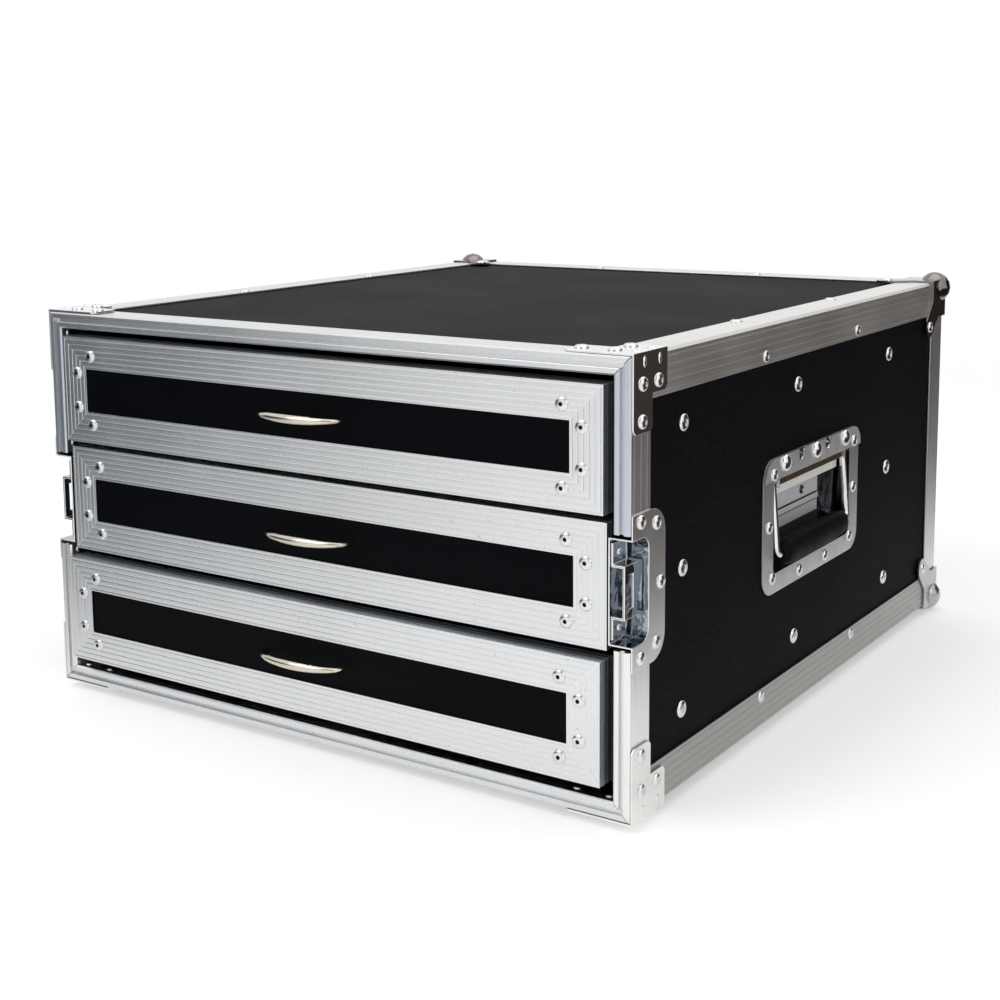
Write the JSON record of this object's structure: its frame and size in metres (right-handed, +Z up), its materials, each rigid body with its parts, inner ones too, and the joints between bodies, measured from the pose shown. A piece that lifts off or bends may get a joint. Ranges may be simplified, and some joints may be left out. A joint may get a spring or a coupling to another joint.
{
  "type": "road case with drawers",
  "caption": "Black laminate road case with ribbed aluminium edging, drawers on telescopic slides, bow pulls, recessed carry handles, latch keeper dishes and ball corners",
  "frame": {"origin": "centre of the underside of the whole object, level with the lowest point of the back ball corners", "axes": "+Z up; the drawers open towards -Y; +X is at the right of someone who stands in front of the drawers and looks at them"},
  "size_m": [0.5464, 0.6338, 0.3214],
  "materials": {
    "laminate": "black grained laminate on plywood",
    "drawer_board": "smooth black laminate on plywood",
    "extrusion": "brushed and anodised, ribbed",
    "chrome_plate": "bright chrome plate on pressed steel",
    "satin_nickel": "satin nickel plate",
    "zinc_steel": "zinc plated sheet steel",
    "grip_rubber": "moulded black rubber"
  },
  "bodies": {
    "case": {"right_side_panel": "laminate", "left_side_panel": "laminate", "bottom_panel": "laminate", "top_panel": "laminate", "back_panel": "laminate", "right_top_edge": "extrusion", "left_top_edge": "extrusion", "right_bottom_edge": "extrusion", "left_bottom_edge": "extrusion", "back_top_edge": "extrusion", "back_bottom_edge": "extrusion", "right_back_edge": "extrusion", "left_back_edge": "extrusion", "front_top_rail": "extrusion", "front_bottom_rail": "extrusion", "right_front_upper_stile": "extrusion", "left_front_upper_stile": "extrusion", "right_front_lower_stile": "extrusion", "left_front_lower_stile": "extrusion", "right_back_top_ball_corner": "chrome_plate", "left_back_top_ball_corner": "chrome_plate", "right_back_bottom_ball_corner": "chrome_plate", "left_back_bottom_ball_corner": "chrome_plate", "right_front_top_brace": "chrome_plate", "left_front_top_brace": "chrome_plate", "right_front_bottom_brace": "chrome_plate", "left_front_bottom_brace": "chrome_plate", "right_latch_dish": "chrome_plate", "left_latch_dish": "chrome_plate", "right_latch_keeper": "zinc_steel", "left_latch_keeper": "zinc_steel", "right_handle_tray": "zinc_steel", "left_handle_tray": "zinc_steel", "right_handle_cover": "zinc_steel", "left_handle_cover": "zinc_steel", "right_drawer_1_case_slide": "zinc_steel", "left_drawer_1_case_slide": "zinc_steel", "right_drawer_2_case_slide": "zinc_steel", "left_drawer_2_case_slide": "zinc_steel", "right_drawer_3_case_slide": "zinc_steel", "left_drawer_3_case_slide": "zinc_steel"},
    "drawer_1": {"drawer_1_box": "drawer_board", "drawer_1_trim": "extrusion", "drawer_1_pull": "satin_nickel", "right_drawer_1_drawer_slide": "zinc_steel", "left_drawer_1_drawer_slide": "zinc_steel"},
    "drawer_2": {"drawer_2_box": "drawer_board", "drawer_2_trim": "extrusion", "drawer_2_pull": "satin_nickel", "right_drawer_2_drawer_slide": "zinc_steel", "left_drawer_2_drawer_slide": "zinc_steel"},
    "drawer_3": {"drawer_3_box": "drawer_board", "drawer_3_trim": "extrusion", "drawer_3_pull": "satin_nickel", "right_drawer_3_drawer_slide": "zinc_steel", "left_drawer_3_drawer_slide": "zinc_steel"},
    "right_handle": {"right_handle_bail": "chrome_plate", "right_handle_grip": "grip_rubber"},
    "left_handle": {"left_handle_bail": "chrome_plate", "left_handle_grip": "grip_rubber"}
  },
  "joints": [
    {"name": "drawer_1_slide", "type": "slide", "parent": "case", "child": "drawer_1", "axis": [0, -1, 0], "range_m": [-0.0048, 0.3702]},
    {"name": "drawer_2_slide", "type": "slide", "parent": "case", "child": "drawer_2", "axis": [0, -1, 0], "range_m": [0, 0.375]},
    {"name": "drawer_3_slide", "type": "slide", "parent": "case", "child": "drawer_3", "axis": [0, -1, 0], "range_m": [-0.009, 0.366]},
    {"name": "right_handle_hinge", "type": "hinge", "parent": "case", "child": "right_handle", "pos_m": [0.2604, 0.00725, 0.1902], "axis": [0, -1, 0], "range_deg": [0, 90], "stiffness_Nm_per_rad": 0.12, "springref_deg": -22.92},
    {"name": "left_handle_hinge", "type": "hinge", "parent": "case", "child": "left_handle", "pos_m": [-0.2604, 0.00725, 0.1902], "axis": [0, 1, 0], "range_deg": [0, 90], "stiffness_Nm_per_rad": 0.12, "springref_deg": -22.92}
  ]
}
